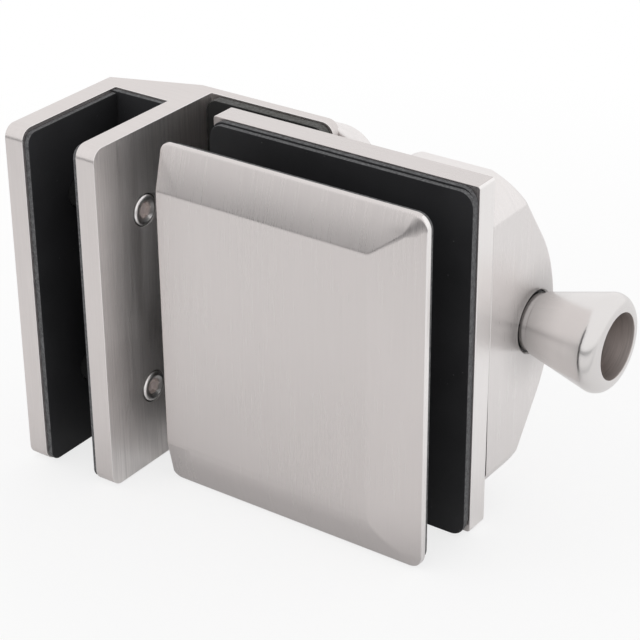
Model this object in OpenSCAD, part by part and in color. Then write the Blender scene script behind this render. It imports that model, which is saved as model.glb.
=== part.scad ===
// Two-part corner latch for frameless glass gates. The keeper clamps the fixed panel and reaches
// behind the gate. The latch clamps the gate panel and throws a sprung bolt behind the keeper's ramp.
// X runs along the gate towards the knob, Y from the front plate to the housing, and Z is up.
// The origin is the middle of the rubber face that carries the gate glass. Sizes are in millimetres.

/* [Glass and pads] */
// Clear width between the pads of the gate clamp, for the gate glass
gate_slot = 15.5; // [12:0.5:17]
// Clear width between the keeper's pads, for the fixed glass
keeper_slot = 15; // [12:0.5:17]
// Thickness of one layer of rubber pad
pad_t = 1.5; // [1.2:0.1:2.4]
// Distance of the pads from the edges of the metal
pad_inset = 0.5; // [0.2:0.1:2]
// Corner radius of the pads on the plates
pad_r = 4; // [3:0.5:8]
// How far the keeper's pads stay back from the tips of its legs
tip_inset = 0.7; // [0.3:0.1:4]
// Corner radius of the keeper's pads
leg_pad_r = 3; // [2:0.5:6]

/* [Clamp plates] */
// Height of the plates and of the keeper
plate_h = 99; // [94:0.2:120]
// Width of the front and back plates
plate_w = 81; // [78:1:96]
// Thickness of the front plate at its edge
front_edge_t = 1.5; // [1.4:0.1:4]
// How far the middle of the front plate stands out from its edge
front_rise = 3.2; // [2:0.2:6]
// Height of the bevels at the top and bottom of the front plate
bevel_h = 12.6; // [8:0.2:18]
// Width of the bevel at the right of the front plate
bevel_w = 15; // [8:0.5:20]
// How far the front plate ends short of the back plate at the right
front_short = 1; // [0:0.1:2]
// Corner radius of the front plate
front_r = 4; // [2:0.5:7]
// Thickness of the back plate
back_t = 7.1; // [6:0.1:9]
// Corner radius of the back plate
back_r = 1; // [0.4:0.1:3]

/* [Keeper] */
// Thickness of the two legs of the U
leg_t = 6; // [5.6:0.1:8]
// Depth of the U from the tips of its legs to its floor
leg_depth = 37.3; // [34:0.5:44]
// Corner radius of the legs and of the arm
leg_r = 3.5; // [3:0.5:7]
// Thickness of the metal behind the U at the inner leg
floor_t = 14.1; // [12:0.1:18]
// How much of that the slanted back takes off at the outer corner
slant_y = 9.4; // [5:0.1:10]
// Width of the slanted back
slant_x = 24.8; // [15:0.2:26]
// Gap between the keeper's inner leg and the gate clamp
side_gap = 10; // [7:0.5:14]
// Thickness of the arm
arm_t = 3.1; // [2.6:0.1:4]
// Thickness of the bumper on the arm
bumper_t = 3; // [2:0.1:4]
// Gap between the bumper and the back plate when latched
closing_gap = 2.1; // [1:0.1:3]

/* [Strike ramp] */
// How far the rim of the ramp reaches past the end of the arm
ramp_reach = 8; // [6:0.5:12]
// Depth of the straight rim behind the flared ramp
rim_depth = 1.8; // [0.8:0.1:2]
// Gap between the rim and the bolt when latched
latch_play = 0.9; // [0.5:0.1:2]
// How far the rim stays below the top of the arm
rim_drop = 3.8; // [1:0.2:8]
// Corner radius of the rim
rim_r = 11; // [6:0.5:14]
// Width of the rim
rim_w = 36; // [30:1:40]
// Corner cut that the ramp takes at its other end
ramp_back = 5; // [2:0.5:8]

/* [Housing] */
// Width of the housing
housing_w = 38.5; // [36:0.5:40]
// Height of the housing
housing_h = 89.4; // [84:0.2:92]
// Slanted corners of the housing seen from behind
corner_cut = 8.5; // [5:0.5:10]
// Depth of the housing behind the back plate
housing_d = 34.2; // [33.8:0.2:36]
// Radius of its rounded back
crown_r = 42; // [38:1:48]
// Slope of the rear bevels that the rounded back runs into
rear_slope = 32.4; // [30:0.4:34]
// Radius of its outer edges
edge_r = 2; // [1.5:0.25:3]
// How far the corners at the sides lie before the rear bevels
corner_ease = 1; // [1:0.2:3]
// Least wall round its hollow and round the nose bush
wall_t = 4; // [3:0.25:5]

/* [Bolt and spring] */
// Diameter of the bolt
bolt_d = 14; // [13:0.5:14]
// Distance of the bolt's axis behind the back plate
axis_d = 22.9; // [22.7:0.1:23.4]
// How far the bolt stands out of the housing when latched
bolt_throw = 16; // [15:0.5:18]
// How far its tip reaches past the edge of the strike
bolt_hold = 11; // [9:0.5:12.5]
// Length of the bolt inside the housing when latched
bolt_guide = 17; // [16:0.5:18]
// Travel of the bolt and knob
travel = 13.5; // [12.5:0.5:13.5]
// Length of the bevel at the tip of the bolt
bolt_bevel = 11; // [8:0.5:12]
// Depth of the flat that stops the bolt turning
bolt_flat = 1; // [0.6:0.1:1.5]
// Depth of the spring pocket in the bolt
pocket_depth = 9; // [8:0.5:10]
// Wall of the bolt round that pocket
pocket_wall = 1.5; // [1.2:0.1:1.6]
// Wire diameter of the spring
wire_d = 1.1; // [0.8:0.1:1.2]
// Turns of the spring
turns = 6; // [4:0.5:7]
// Diameter of the spindle
spindle_d = 8; // [7.6:0.1:8.2]
// Radial clearance of sliding fits
fit_gap = 0.05; // [0.03:0.01:0.1]

/* [Knob] */
// Diameter of the knob at its large end
knob_d = 26.8; // [25:0.2:30]
// Diameter of the knob where its cone starts
cone_d = 18; // [17.6:0.1:20]
// Length of the knob outside the housing
knob_l = 24.4; // [23:0.2:30]
// Radius of the rounded lip
lip_r = 3.9; // [2:0.1:4]
// Diameter of the recess at its mouth
recess_d = 18; // [16:0.2:18.4]
// Taper of the recess on the diameter
recess_taper = 1.2; // [0:0.1:3]
// Depth of the recess
recess_depth = 13; // [11:0.5:14]
// Metal between the recess and the end of the spindle
web_t = 5; // [4:0.5:6]
// Diameter of the ring that runs into the housing
ring_d = 15.8; // [15.4:0.1:16]
// Length of that ring outside the housing
ring_l = 1.9; // [1.2:0.1:2.4]
// Depth of the round recess in the housing that takes the ring
ring_sink = 1.6; // [1.2:0.1:2]

/* [Fasteners] */
// Distance between the two keeper screws, and between the two clamp screws
screw_pitch = 52.8; // [46:0.4:60]
// Distance of the keeper screws from the tips of the legs
keeper_screw_in = 18.75; // [16:0.25:21]
// How far the heads of the keeper screws stand out of their recesses
head_proud = 0.6; // [0:0.1:1]
// Diameter of the clamp bosses on the front plate
boss_d = 12; // [10:0.5:13]
// Place of the clamp bosses to the left of the middle of the plates
boss_off = 6.5; // [6.5:0.5:10]
// Wall of the sleeves in the glass holes
sleeve_t = 1.8; // [1.2:0.1:2.4]
// Distance of the housing screws from the ends of the housing
housing_screw_in = 16; // [14:0.5:18]
// Distance of the housing screws from the sides of the housing
housing_screw_side = 8; // [7.5:0.5:12]

/* [Hidden] */

// Standard screws: thread, head diameter, head height, width of the hex socket
M4_GRUB = [4, 4, 0, 2];
M5_CAP = [5, 8.5, 5, 4];
M5_SUNK = [5, 9.2, 2.7, 3];
M6_SUNK = [6, 11.3, 3.3, 4];

thread_gap = 0.05;
head_gap = 0.3;
seat_gap = 0.1;
sleeve_gap = 0.2;
blind_wall = 2;
tap_over = 1;
socket_share = 0.6;
overcut = 1;
round_fn = 64;
hull_fn = 32;
crown_steps = 4;

// Places along Y, from the front of the front plate to the back of the housing
glass_front_y = -gate_slot;
front_rear_y = glass_front_y - pad_t;
front_edge_y = front_rear_y - front_edge_t;
front_top_y = front_edge_y - front_rise;
back_front_y = 2 * pad_t;
back_rear_y = back_front_y + back_t;
bumper_y = back_rear_y + closing_gap;
arm_front_y = bumper_y + bumper_t;
arm_rear_y = arm_front_y + arm_t;
floor_y = arm_rear_y - floor_t;
tip_y = floor_y - leg_depth;
axis_y = back_rear_y + axis_d;
rim_rear_y = axis_y - bolt_d / 2 - latch_play;
rim_front_y = rim_rear_y - rim_depth;

// Places along X, from the keeper's outer leg to the housing
clamp_x = plate_w / 2;
front_x = clamp_x - front_short;
inner_out_x = -clamp_x - side_gap;
inner_in_x = inner_out_x - leg_t;
outer_in_x = inner_in_x - keeper_slot - 2 * pad_t;
outer_out_x = outer_in_x - leg_t;
housing_x = clamp_x - housing_w;
bolt_tip_x = housing_x - bolt_throw;
rim_x = bolt_tip_x + bolt_hold;
arm_end_x = rim_x - ramp_reach;

// Places along the bolt's axis
bolt_rear_x = housing_x + bolt_guide;
pocket_x = bolt_rear_x - pocket_depth;
flange_t = 1;
flange_x = clamp_x - ring_sink;
knob_x = flange_x + flange_t;
spindle_bush_l = 5;
spindle_bush_x = flange_x - spindle_bush_l;
washer_t = 1;
washer_x = spindle_bush_x - washer_t;
knob_end_x = clamp_x + knob_l;
recess_x = knob_end_x - recess_depth;
spindle_end_x = recess_x - web_t;
spindle_grip = 8;
spindle_x = pocket_x - spindle_grip;
knob_screw_l = 15;
pin_d = 3;
pin_x = pocket_x - spindle_grip / 2;

// Radii round the bolt's axis
bolt_r = bolt_d / 2;
pocket_r = bolt_r - pocket_wall;
spindle_r = spindle_d / 2;
spring_r = (pocket_r + spindle_r) / 2;
nose_bush_t = 1;
nose_bush_l = 10;
nose_bush_r = bolt_r + fit_gap + nose_bush_t;
nose_inset = 0.4;
nose_screw_in = 7;
spindle_bush_t = 2;
spindle_bush_r = spindle_r + fit_gap + spindle_bush_t;
ring_r = ring_d / 2;
ring_gap = 0.4;
ring_hole_r = ring_r + ring_gap;
ring_chamfer = 0.6;

// Sleeves and the holes that take them, in the glass and in the pads
keeper_screw_y = tip_y + keeper_screw_in;
keeper_sleeve_r = M5_CAP[0] / 2 + fit_gap + sleeve_t;
keeper_head_x = inner_out_x + head_proud - M5_CAP[2];
keeper_screw_l = keeper_head_x - outer_out_x - blind_wall - tap_over;
clamp_sleeve_r = boss_d / 2 + fit_gap + sleeve_t;
boss_short = 1;
clamp_screw_l = 18;

// Hollow of the housing and its screws
hollow_d = axis_d - nose_bush_r - wall_t;
housing_screw_x = [housing_x + housing_screw_side, clamp_x - housing_screw_side];
housing_boss_wall = 2.2;
housing_boss_r = M5_SUNK[0] / 2 + housing_boss_wall;
housing_screw_l = 16;

// Turns a shape drawn along Z so that it runs along X
module along_x() rotate([90, 0, 90]) children();

// The same, on the bolt's axis
module on_axis() translate([0, axis_y, 0]) along_x() children();

// Places its children twice, pitch apart on Z
module pair(pitch) for (s = [-1, 1]) translate([0, 0, s * pitch / 2]) children();

// Rectangle with corners of true arcs
module rounded(w, h, r, fn) {
    square([w - 2 * r, h], center = true);
    square([w, h - 2 * r], center = true);
    for (sx = [-1, 1], sy = [-1, 1])
        translate([sx * (w / 2 - r), sy * (h / 2 - r)]) circle(r, $fn = fn);
}

// Plate facing Y, from x0 to x1 and y0 to y1, h high, with corner radius r
module slab(x0, x1, y0, y1, h, r, fn = round_fn)
    translate([(x0 + x1) / 2, y1, 0]) rotate([90, 0, 0])
        linear_extrude(y1 - y0) rounded(x1 - x0, h, r, fn);

// Plate facing X with round corners at y0 and square ones at y1
module tongue(x0, x1, y0, y1, h, r)
    intersection() {
        translate([x0, (y0 + y1) / 2 + r, 0]) along_x()
            linear_extrude(x1 - x0) rounded(y1 - y0 + 2 * r, h, r, round_fn);
        translate([x0, y0, -h / 2]) cube([x1 - x0, y1 - y0, h]);
    }

// Tube of length l from the origin along Z
module tube(r_out, r_in, l)
    difference() {
        cylinder(r = r_out, h = l, $fn = round_fn);
        translate([0, 0, -overcut]) cylinder(r = r_in, h = l + 2 * overcut, $fn = round_fn);
    }

// Hex socket, from the origin along Z
module socket(m, depth) cylinder(d = m[3] / cos(30), h = depth, $fn = 6);

// Cap screw seated at the origin, with its head on +Z and its shank on -Z
module cap_screw(m, l)
    difference() {
        union() {
            translate([0, 0, -l]) cylinder(d = m[0], h = l + m[2] / 2, $fn = round_fn);
            cylinder(d = m[1], h = m[2], $fn = round_fn);
        }
        translate([0, 0, m[2] * (1 - socket_share)]) socket(m, m[2]);
    }

// Outline of a countersunk screw, or of its hole where gap is its clearance
function sunk_outline(m, l, gap) = [[0, 0], [m[1] / 2 + gap, 0], [m[0] / 2 + gap, -m[2]],
    [m[0] / 2 + gap, -l], [0, -l]];

// Countersunk screw with the top of its head at the origin and its shank on -Z
module sunk_screw(m, l)
    difference() {
        rotate_extrude($fn = round_fn) polygon(sunk_outline(m, l, 0));
        translate([0, 0, -m[2] * socket_share]) socket(m, m[2]);
    }

module sunk_hole(m, l) rotate_extrude($fn = round_fn) polygon(sunk_outline(m, l, thread_gap));

// Keeper

// The U, its slanted back and the arm, seen from above
module keeper_outline()
    polygon([[outer_out_x, tip_y], [outer_in_x, tip_y], [outer_in_x, floor_y],
        [inner_in_x, floor_y], [inner_in_x, tip_y], [inner_out_x, tip_y],
        [inner_out_x, arm_front_y], [arm_end_x, arm_front_y], [arm_end_x, arm_rear_y],
        [outer_out_x + slant_x, arm_rear_y], [outer_out_x, arm_rear_y - slant_y]]);

// Flares from the end of the arm to its rim: the bolt is pushed back over it and drops in behind
module strike_ramp()
    hull() {
        slab(rim_x - rim_w - ramp_back, arm_end_x - seat_gap, arm_rear_y - arm_t / 2, arm_rear_y,
            plate_h - 2 * seat_gap, leg_r, hull_fn);
        slab(rim_x - rim_w, rim_x, rim_front_y, rim_rear_y, plate_h - 2 * rim_drop, rim_r, hull_fn);
    }

module keeper_bracket()
    color("silver") difference() {
        union() {
            intersection() {
                translate([0, 0, -plate_h / 2]) linear_extrude(plate_h) keeper_outline();
                tongue(outer_out_x, arm_end_x, tip_y, arm_rear_y, plate_h, leg_r);
                slab(outer_out_x - 2 * leg_r, arm_end_x, tip_y, arm_rear_y, plate_h, leg_r);
            }
            strike_ramp();
        }
        pair(screw_pitch) translate([0, keeper_screw_y, 0]) {
            translate([keeper_head_x, 0, 0]) along_x()
                cylinder(r = M5_CAP[1] / 2 + head_gap, h = leg_t, $fn = round_fn);
            translate([outer_out_x + blind_wall, 0, 0]) along_x()
                cylinder(r = M5_CAP[0] / 2 + thread_gap, h = inner_out_x - outer_out_x, $fn = round_fn);
        }
    }

// Pad on the inside of a leg, with holes for the sleeves
module leg_pad(x)
    color("dimgray") difference() {
        tongue(x, x + pad_t, tip_y + tip_inset, floor_y - pad_t, plate_h - 2 * pad_inset, leg_pad_r);
        pair(screw_pitch) translate([x - overcut, keeper_screw_y, 0]) along_x()
            cylinder(r = keeper_sleeve_r + sleeve_gap, h = pad_t + 2 * overcut, $fn = round_fn);
    }

module keeper_pad_outer() leg_pad(outer_in_x);

module keeper_pad_inner() leg_pad(inner_in_x - pad_t);

module keeper_pad_base()
    color("dimgray") translate([outer_in_x, floor_y - pad_t, pad_inset - plate_h / 2])
        cube([inner_in_x - outer_in_x, pad_t, plate_h - 2 * pad_inset]);

module bumper_pad()
    color("dimgray") slab(inner_out_x + pad_inset, arm_end_x - pad_inset, bumper_y, arm_front_y,
        plate_h - 2 * pad_inset, leg_r);

module keeper_screws()
    color("gainsboro") pair(screw_pitch)
        translate([keeper_head_x, keeper_screw_y, 0]) along_x()
            cap_screw(M5_CAP, keeper_screw_l);

module keeper_sleeves()
    color("black") pair(screw_pitch)
        translate([outer_in_x + seat_gap, keeper_screw_y, 0]) along_x()
            tube(keeper_sleeve_r, M5_CAP[0] / 2 + fit_gap, inner_in_x - outer_in_x - 2 * seat_gap);

// Gate clamp

// Pad between the plates, from y on, on a plate that ends at x on the right
module clamp_pad(y, x)
    color("dimgray") difference() {
        slab(pad_inset - clamp_x, x - pad_inset, y, y + pad_t, plate_h - 2 * pad_inset, pad_r);
        clamp_places(y - overcut)
            cylinder(r = clamp_sleeve_r + sleeve_gap, h = pad_t + 2 * overcut, $fn = round_fn);
    }

// Puts its children at the two clamp screws, starting at y and running along +Y
module clamp_places(y)
    pair(screw_pitch) translate([-boss_off, y, 0]) rotate([-90, 0, 0]) children();

// The body that the front, side and top outlines of the plate have in common
module pillow()
    intersection() {
        slab(-clamp_x, front_x, front_top_y, front_rear_y, plate_h, front_r);
        translate([-clamp_x, 0, 0]) along_x() linear_extrude(plate_w)
            polygon([[front_rear_y, -plate_h / 2], [front_rear_y, plate_h / 2],
                [front_edge_y, plate_h / 2], [front_top_y, plate_h / 2 - bevel_h],
                [front_top_y, bevel_h - plate_h / 2], [front_edge_y, -plate_h / 2]]);
        translate([0, 0, -plate_h / 2]) linear_extrude(plate_h)
            polygon([[-clamp_x, front_rear_y], [-clamp_x, front_top_y],
                [front_x - bevel_w, front_top_y], [front_x, front_edge_y], [front_x, front_rear_y]]);
    }

module front_plate()
    color("silver") difference() {
        union() {
            pillow();
            clamp_places(front_rear_y - front_edge_t / 2)
                cylinder(d = boss_d, h = back_front_y - boss_short - front_rear_y + front_edge_t / 2,
                    $fn = round_fn);
        }
        clamp_places(back_rear_y - clamp_screw_l - tap_over)
            cylinder(r = M6_SUNK[0] / 2 + thread_gap, h = clamp_screw_l + tap_over, $fn = round_fn);
    }

module front_pad() clamp_pad(front_rear_y, front_x);

module back_pad() clamp_pad(0, clamp_x);

module back_pad_liner() clamp_pad(pad_t, clamp_x);

module back_plate()
    color("silver") difference() {
        slab(-clamp_x, clamp_x, back_front_y, back_rear_y, plate_h, back_r);
        clamp_places(back_rear_y) sunk_hole(M6_SUNK, back_t + overcut);
        housing_places(back_front_y) sunk_hole(M5_SUNK, back_t + overcut);
    }

module clamp_screws()
    color("gainsboro") clamp_places(back_rear_y) sunk_screw(M6_SUNK, clamp_screw_l);

module clamp_sleeves()
    color("black") clamp_places(front_rear_y + seat_gap)
        tube(clamp_sleeve_r, boss_d / 2 + fit_gap, back_front_y - front_rear_y - 2 * seat_gap);

// Housing

// Puts its children at the four housing screws, with their shanks running along +Y from y
module housing_places(y)
    for (x = housing_screw_x, s = [-1, 1])
        translate([x, y, s * (housing_h / 2 - housing_screw_in)]) rotate([90, 0, 0]) children();

// Depth of the rear bevel's surface at height z, less what a ball of radius r on its inside needs
function bevel_depth(z, r) = housing_d - crown_r + (crown_r - r) / cos(rear_slope) - z * tan(rear_slope);

// Casting with slanted corners, a rounded back between bevels, and round edges, made between balls
module housing_form() {
    bend = edge_r * tan(22.5);
    mid_x = housing_x + housing_w / 2;
    hull() for (sx = [-1, 1]) {
        for (sz = [-1, 1], c = [[housing_w / 2 - edge_r, housing_h / 2 - corner_cut - bend, corner_ease],
                [housing_w / 2 - corner_cut - bend, housing_h / 2 - edge_r, 0]])
            translate([mid_x + sx * c[0], back_rear_y, sz * c[1]]) {
                depth = bevel_depth(c[1], edge_r) - c[2];
                translate([0, depth, 0]) sphere(edge_r, $fn = hull_fn);
                rotate([-90, 0, 0]) cylinder(r = edge_r, h = depth, $fn = hull_fn);
            }
        for (k = [-crown_steps : crown_steps]) let (a = rear_slope * k / crown_steps)
            translate([mid_x + sx * (housing_w / 2 - edge_r),
                back_rear_y + housing_d - crown_r + (crown_r - edge_r) * cos(a),
                (crown_r - edge_r) * sin(a)]) sphere(edge_r, $fn = hull_fn);
    }
}

// Open space between the back plate and the bolt's barrel, round the four screw bosses
module housing_hollow()
    difference() {
        slab(housing_x + wall_t, clamp_x - wall_t, back_rear_y - overcut, back_rear_y + hollow_d,
            housing_h - 2 * corner_cut - 2 * wall_t, wall_t);
        housing_places(back_rear_y + hollow_d)
            cylinder(r = housing_boss_r, h = hollow_d + 2 * overcut, $fn = round_fn);
    }

// Stepped bore along the bolt's axis: nose bush, bolt, spindle bush and the knob's ring
module housing_bore()
    on_axis() rotate_extrude($fn = round_fn)
        polygon([[0, housing_x - overcut], [nose_bush_r, housing_x - overcut],
            [nose_bush_r, housing_x + nose_inset + nose_bush_l],
            [bolt_r + fit_gap, housing_x + nose_inset + nose_bush_l],
            [bolt_r + fit_gap, spindle_bush_x], [spindle_bush_r, spindle_bush_x],
            [spindle_bush_r, flange_x], [ring_hole_r, flange_x],
            [ring_hole_r, clamp_x - ring_chamfer], [ring_hole_r + ring_chamfer, clamp_x],
            [ring_hole_r + ring_chamfer, clamp_x + overcut], [0, clamp_x + overcut]]);

// Puts its children at the grub screw that holds the nose bush, running along +Y from the hollow
module nose_screw_place()
    translate([housing_x + nose_screw_in, back_rear_y + hollow_d, 0])
        rotate([-90, 0, 0]) children();

module housing()
    color("silver") difference() {
        housing_form();
        housing_hollow();
        housing_bore();
        housing_places(back_front_y + housing_screw_l + tap_over)
            cylinder(r = M5_SUNK[0] / 2 + thread_gap, h = housing_screw_l + tap_over, $fn = round_fn);
        nose_screw_place()
            cylinder(r = M4_GRUB[0] / 2 + thread_gap, h = wall_t + nose_bush_t, $fn = round_fn);
    }

module housing_screws()
    color("gainsboro") housing_places(back_front_y) sunk_screw(M5_SUNK, housing_screw_l);

// Circle with the flat that the bolt and its bush share
module flatted(r, flat)
    intersection() {
        circle(r, $fn = round_fn);
        translate([-r, -flat]) square([2 * r, r + flat]);
    }

module nose_bush()
    color("peru") difference() {
        on_axis() translate([0, 0, housing_x + nose_inset])
            cylinder(r = nose_bush_r, h = nose_bush_l, $fn = round_fn);
        on_axis() translate([0, 0, housing_x + nose_inset - overcut])
            linear_extrude(nose_bush_l + 2 * overcut)
                flatted(bolt_r + fit_gap, bolt_r - bolt_flat + fit_gap);
    }

module nose_screw()
    color("dimgray") nose_screw_place() difference() {
        cylinder(d = M4_GRUB[0], h = wall_t - seat_gap, $fn = round_fn);
        translate([0, 0, -overcut]) socket(M4_GRUB, wall_t / 2 + overcut);
    }

module spindle_bush()
    color("black") on_axis() difference() {
        translate([0, 0, spindle_bush_x]) union() {
            cylinder(r = spindle_bush_r, h = spindle_bush_l, $fn = round_fn);
            translate([0, 0, spindle_bush_l])
                cylinder(r = ring_hole_r - seat_gap, h = flange_t, $fn = round_fn);
        }
        translate([0, 0, spindle_bush_x - overcut])
            cylinder(r = spindle_r + fit_gap, h = spindle_bush_l + flange_t + 2 * overcut, $fn = round_fn);
    }

module thrust_washer()
    color("gainsboro") on_axis() translate([0, 0, washer_x])
        tube(spindle_bush_r, spindle_r + fit_gap, washer_t);

// Bolt, spindle and knob: these slide together

// Centre of the wire after t turns, from the floor of the pocket to the washer
spring_l = washer_x - pocket_x - wire_d - 2 * fit_gap;
turn_rings = 16;
wire_sides = 6;
spring_rings = turns * turn_rings;
function wire_point(i, r, x) = let (a = 360 * i / turn_rings)
    [r * cos(a), r * sin(a), spring_l * i / spring_rings + x];
function wire_ring(i) = [for (k = [0 : wire_sides - 1]) let (b = 360 * k / wire_sides)
    wire_point(i, spring_r + wire_d / 2 * cos(b), wire_d / 2 * sin(b))];

// Least gap between neighbouring turns, measured between points of the wire's centre line
echo(spring_gap = min([for (i = [0 : turn_rings], j = [turn_rings / 2 : 3 * turn_rings / 2])
    norm(wire_point(i, spring_r, 0) - wire_point(i + j, spring_r, 0))]) - wire_d);

module bolt_spring()
    color("darkgray") on_axis() translate([0, 0, pocket_x + wire_d / 2 + fit_gap])
        polyhedron(
            points = [for (i = [0 : spring_rings]) each wire_ring(i)],
            faces = concat(
                [[for (k = [0 : wire_sides - 1]) k]],
                [for (i = [0 : spring_rings - 1], k = [0 : wire_sides - 1])
                    let (p = i * wire_sides + k, q = i * wire_sides + (k + 1) % wire_sides)
                        each [[p, p + wire_sides, q], [q, p + wire_sides, q + wire_sides]]],
                [[for (k = [wire_sides - 1 : -1 : 0]) spring_rings * wire_sides + k]]));

module latch_bolt()
    color("silver") difference() {
        on_axis() translate([0, 0, bolt_tip_x]) linear_extrude(bolt_rear_x - bolt_tip_x)
            flatted(bolt_r, bolt_r - bolt_flat);
        translate([0, 0, -bolt_d]) linear_extrude(2 * bolt_d)
            polygon([[bolt_tip_x - overcut, axis_y - bolt_r / 2], [bolt_tip_x, axis_y - bolt_r / 2],
                [bolt_tip_x + bolt_bevel, axis_y + bolt_r], [bolt_tip_x + bolt_bevel, axis_y + bolt_d],
                [bolt_tip_x - overcut, axis_y + bolt_d]]);
        on_axis() translate([0, 0, pocket_x])
            cylinder(r = pocket_r, h = pocket_depth + overcut, $fn = round_fn);
        on_axis() translate([0, 0, spindle_x])
            cylinder(r = spindle_r + thread_gap, h = spindle_grip + overcut, $fn = round_fn);
        pin_hole();
    }

module pin_hole()
    translate([pin_x, axis_y, -bolt_d])
        cylinder(r = pin_d / 2 + thread_gap, h = 2 * bolt_d, $fn = round_fn);

module spindle_pin()
    color("gainsboro") translate([pin_x, axis_y, bolt_flat - bolt_r])
        cylinder(d = pin_d, h = bolt_d - 2 * bolt_flat, $fn = round_fn);

module spindle()
    color("gainsboro") difference() {
        on_axis() translate([0, 0, spindle_x + seat_gap])
            cylinder(r = spindle_r, h = spindle_end_x - spindle_x - 2 * seat_gap, $fn = round_fn);
        pin_hole();
        on_axis() translate([0, 0, recess_x - knob_screw_l - tap_over])
            cylinder(r = M5_CAP[0] / 2 + thread_gap, h = knob_screw_l, $fn = round_fn);
    }

// Half section of the knob, with the radius on X and the axis on Y
module knob_section() {
    cone = atan((knob_d - cone_d) / 2 / (knob_l - ring_l - lip_r));
    lip = [knob_d / 2 - lip_r, knob_end_x - lip_r];
    difference() {
        union() {
            polygon([[0, knob_x], [ring_r, knob_x], [ring_r, clamp_x + ring_l],
                [cone_d / 2, clamp_x + ring_l], lip + lip_r * [cos(cone), -sin(cone)], lip,
                [lip[0], knob_end_x], [0, knob_end_x]]);
            translate(lip) circle(lip_r, $fn = round_fn);
        }
        polygon([[0, recess_x], [(recess_d - recess_taper) / 2, recess_x], [recess_d / 2, knob_end_x],
            [recess_d / 2, knob_end_x + overcut], [0, knob_end_x + overcut]]);
        translate([0, knob_x - overcut]) square([spindle_r + thread_gap, spindle_end_x - knob_x + overcut]);
        translate([0, knob_x]) square([M5_CAP[0] / 2 + thread_gap, recess_x + overcut - knob_x]);
    }
}

module knob() color("silver") on_axis() rotate_extrude($fn = round_fn) knob_section();

module knob_screw()
    color("gray") on_axis() translate([0, 0, recess_x]) cap_screw(M5_CAP, knob_screw_l);

keeper_bracket();
keeper_pad_outer();
keeper_pad_base();
keeper_pad_inner();
bumper_pad();
keeper_screws();
keeper_sleeves();
front_plate();
front_pad();
back_plate();
back_pad();
back_pad_liner();
clamp_screws();
clamp_sleeves();
housing();
housing_screws();
nose_bush();
nose_screw();
spindle_bush();
thrust_washer();
bolt_spring();
latch_bolt();
spindle();
spindle_pin();
knob();
knob_screw();
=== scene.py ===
import math

import bmesh
import bpy
from mathutils import Matrix, Vector


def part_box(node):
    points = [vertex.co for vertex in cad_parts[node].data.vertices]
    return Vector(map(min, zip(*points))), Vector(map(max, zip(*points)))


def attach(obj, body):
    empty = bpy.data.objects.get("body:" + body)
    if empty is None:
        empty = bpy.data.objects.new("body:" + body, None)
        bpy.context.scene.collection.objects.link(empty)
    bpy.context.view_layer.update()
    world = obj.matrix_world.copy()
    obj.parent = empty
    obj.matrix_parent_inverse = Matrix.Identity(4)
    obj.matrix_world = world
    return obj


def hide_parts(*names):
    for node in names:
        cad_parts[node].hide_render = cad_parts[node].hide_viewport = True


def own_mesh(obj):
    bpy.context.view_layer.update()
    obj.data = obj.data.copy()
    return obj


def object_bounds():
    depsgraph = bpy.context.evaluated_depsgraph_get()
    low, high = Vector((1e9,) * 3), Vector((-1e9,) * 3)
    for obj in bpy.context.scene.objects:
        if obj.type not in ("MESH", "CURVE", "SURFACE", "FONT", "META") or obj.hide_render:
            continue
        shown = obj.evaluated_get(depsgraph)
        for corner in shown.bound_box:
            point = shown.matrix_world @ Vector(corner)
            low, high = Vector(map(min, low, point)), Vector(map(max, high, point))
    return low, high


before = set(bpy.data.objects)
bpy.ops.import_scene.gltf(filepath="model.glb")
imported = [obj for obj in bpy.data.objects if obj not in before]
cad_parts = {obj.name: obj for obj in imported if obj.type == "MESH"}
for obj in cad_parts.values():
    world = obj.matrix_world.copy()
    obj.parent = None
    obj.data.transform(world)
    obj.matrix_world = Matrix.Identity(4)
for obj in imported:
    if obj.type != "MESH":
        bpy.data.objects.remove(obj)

cad_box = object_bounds()
MM = 0.001

# The latch of a glass gate. The keeper clamps the fixed glass at the left, the front and the back plate clamp the
# gate's glass, and the housing behind them holds the sprung bolt that the knob pulls. X runs along the gate to the
# knob, Y from the photograph's side to the back, and Z up.

# The camera of the photograph
FOCAL_PX, FRAME_PX = 2084.38, 640
CAMERA_AZ, CAMERA_EL, CAMERA_ROLL = math.radians(35.34), math.radians(27.81), math.radians(-0.44)
CAMERA_DISTANCE = 0.54674
CAMERA_TARGET = Vector((-6.75, 2.65, -0.44)) * MM
SENSOR_MM = 36

# Planes of the frame that the pieces share
front_lo, front_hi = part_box("front_plate")
front_pad_lo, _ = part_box("front_pad")
back_lo, back_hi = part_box("back_plate")
house_lo, house_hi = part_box("housing")
keeper_lo, keeper_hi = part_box("keeper_bracket")
inner_pad_lo, inner_pad_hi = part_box("keeper_pad_inner")
outer_pad_lo, outer_pad_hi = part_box("keeper_pad_outer")
base_pad_lo, base_pad_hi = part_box("keeper_pad_base")
bumper_lo, bumper_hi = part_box("bumper_pad")
knob_lo, knob_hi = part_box("knob")
AXIS_Y = (knob_lo.y + knob_hi.y) / 2


# ---- building in mesh code ----

# Where a point goes that is (u, v) across an axis and w along it
AXES = {"x": lambda u, v, w: (w, u, v), "y": lambda u, v, w: (u, w, v), "z": lambda u, v, w: (u, v, w)}
FINE_STEPS = 128  # round a large turned surface


def between(a, b, share):
    """The number that share of the way from a to b."""
    return a + (b - a) * share


def corner_arc(cx, cy, r, start, steps):
    """Points of a quarter circle about (cx, cy), anticlockwise from the angle start."""
    turns = [start + math.pi / 2 * i / steps for i in range(steps + 1)]
    return [(cx + r * math.cos(a), cy + r * math.sin(a)) for a in turns]


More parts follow.
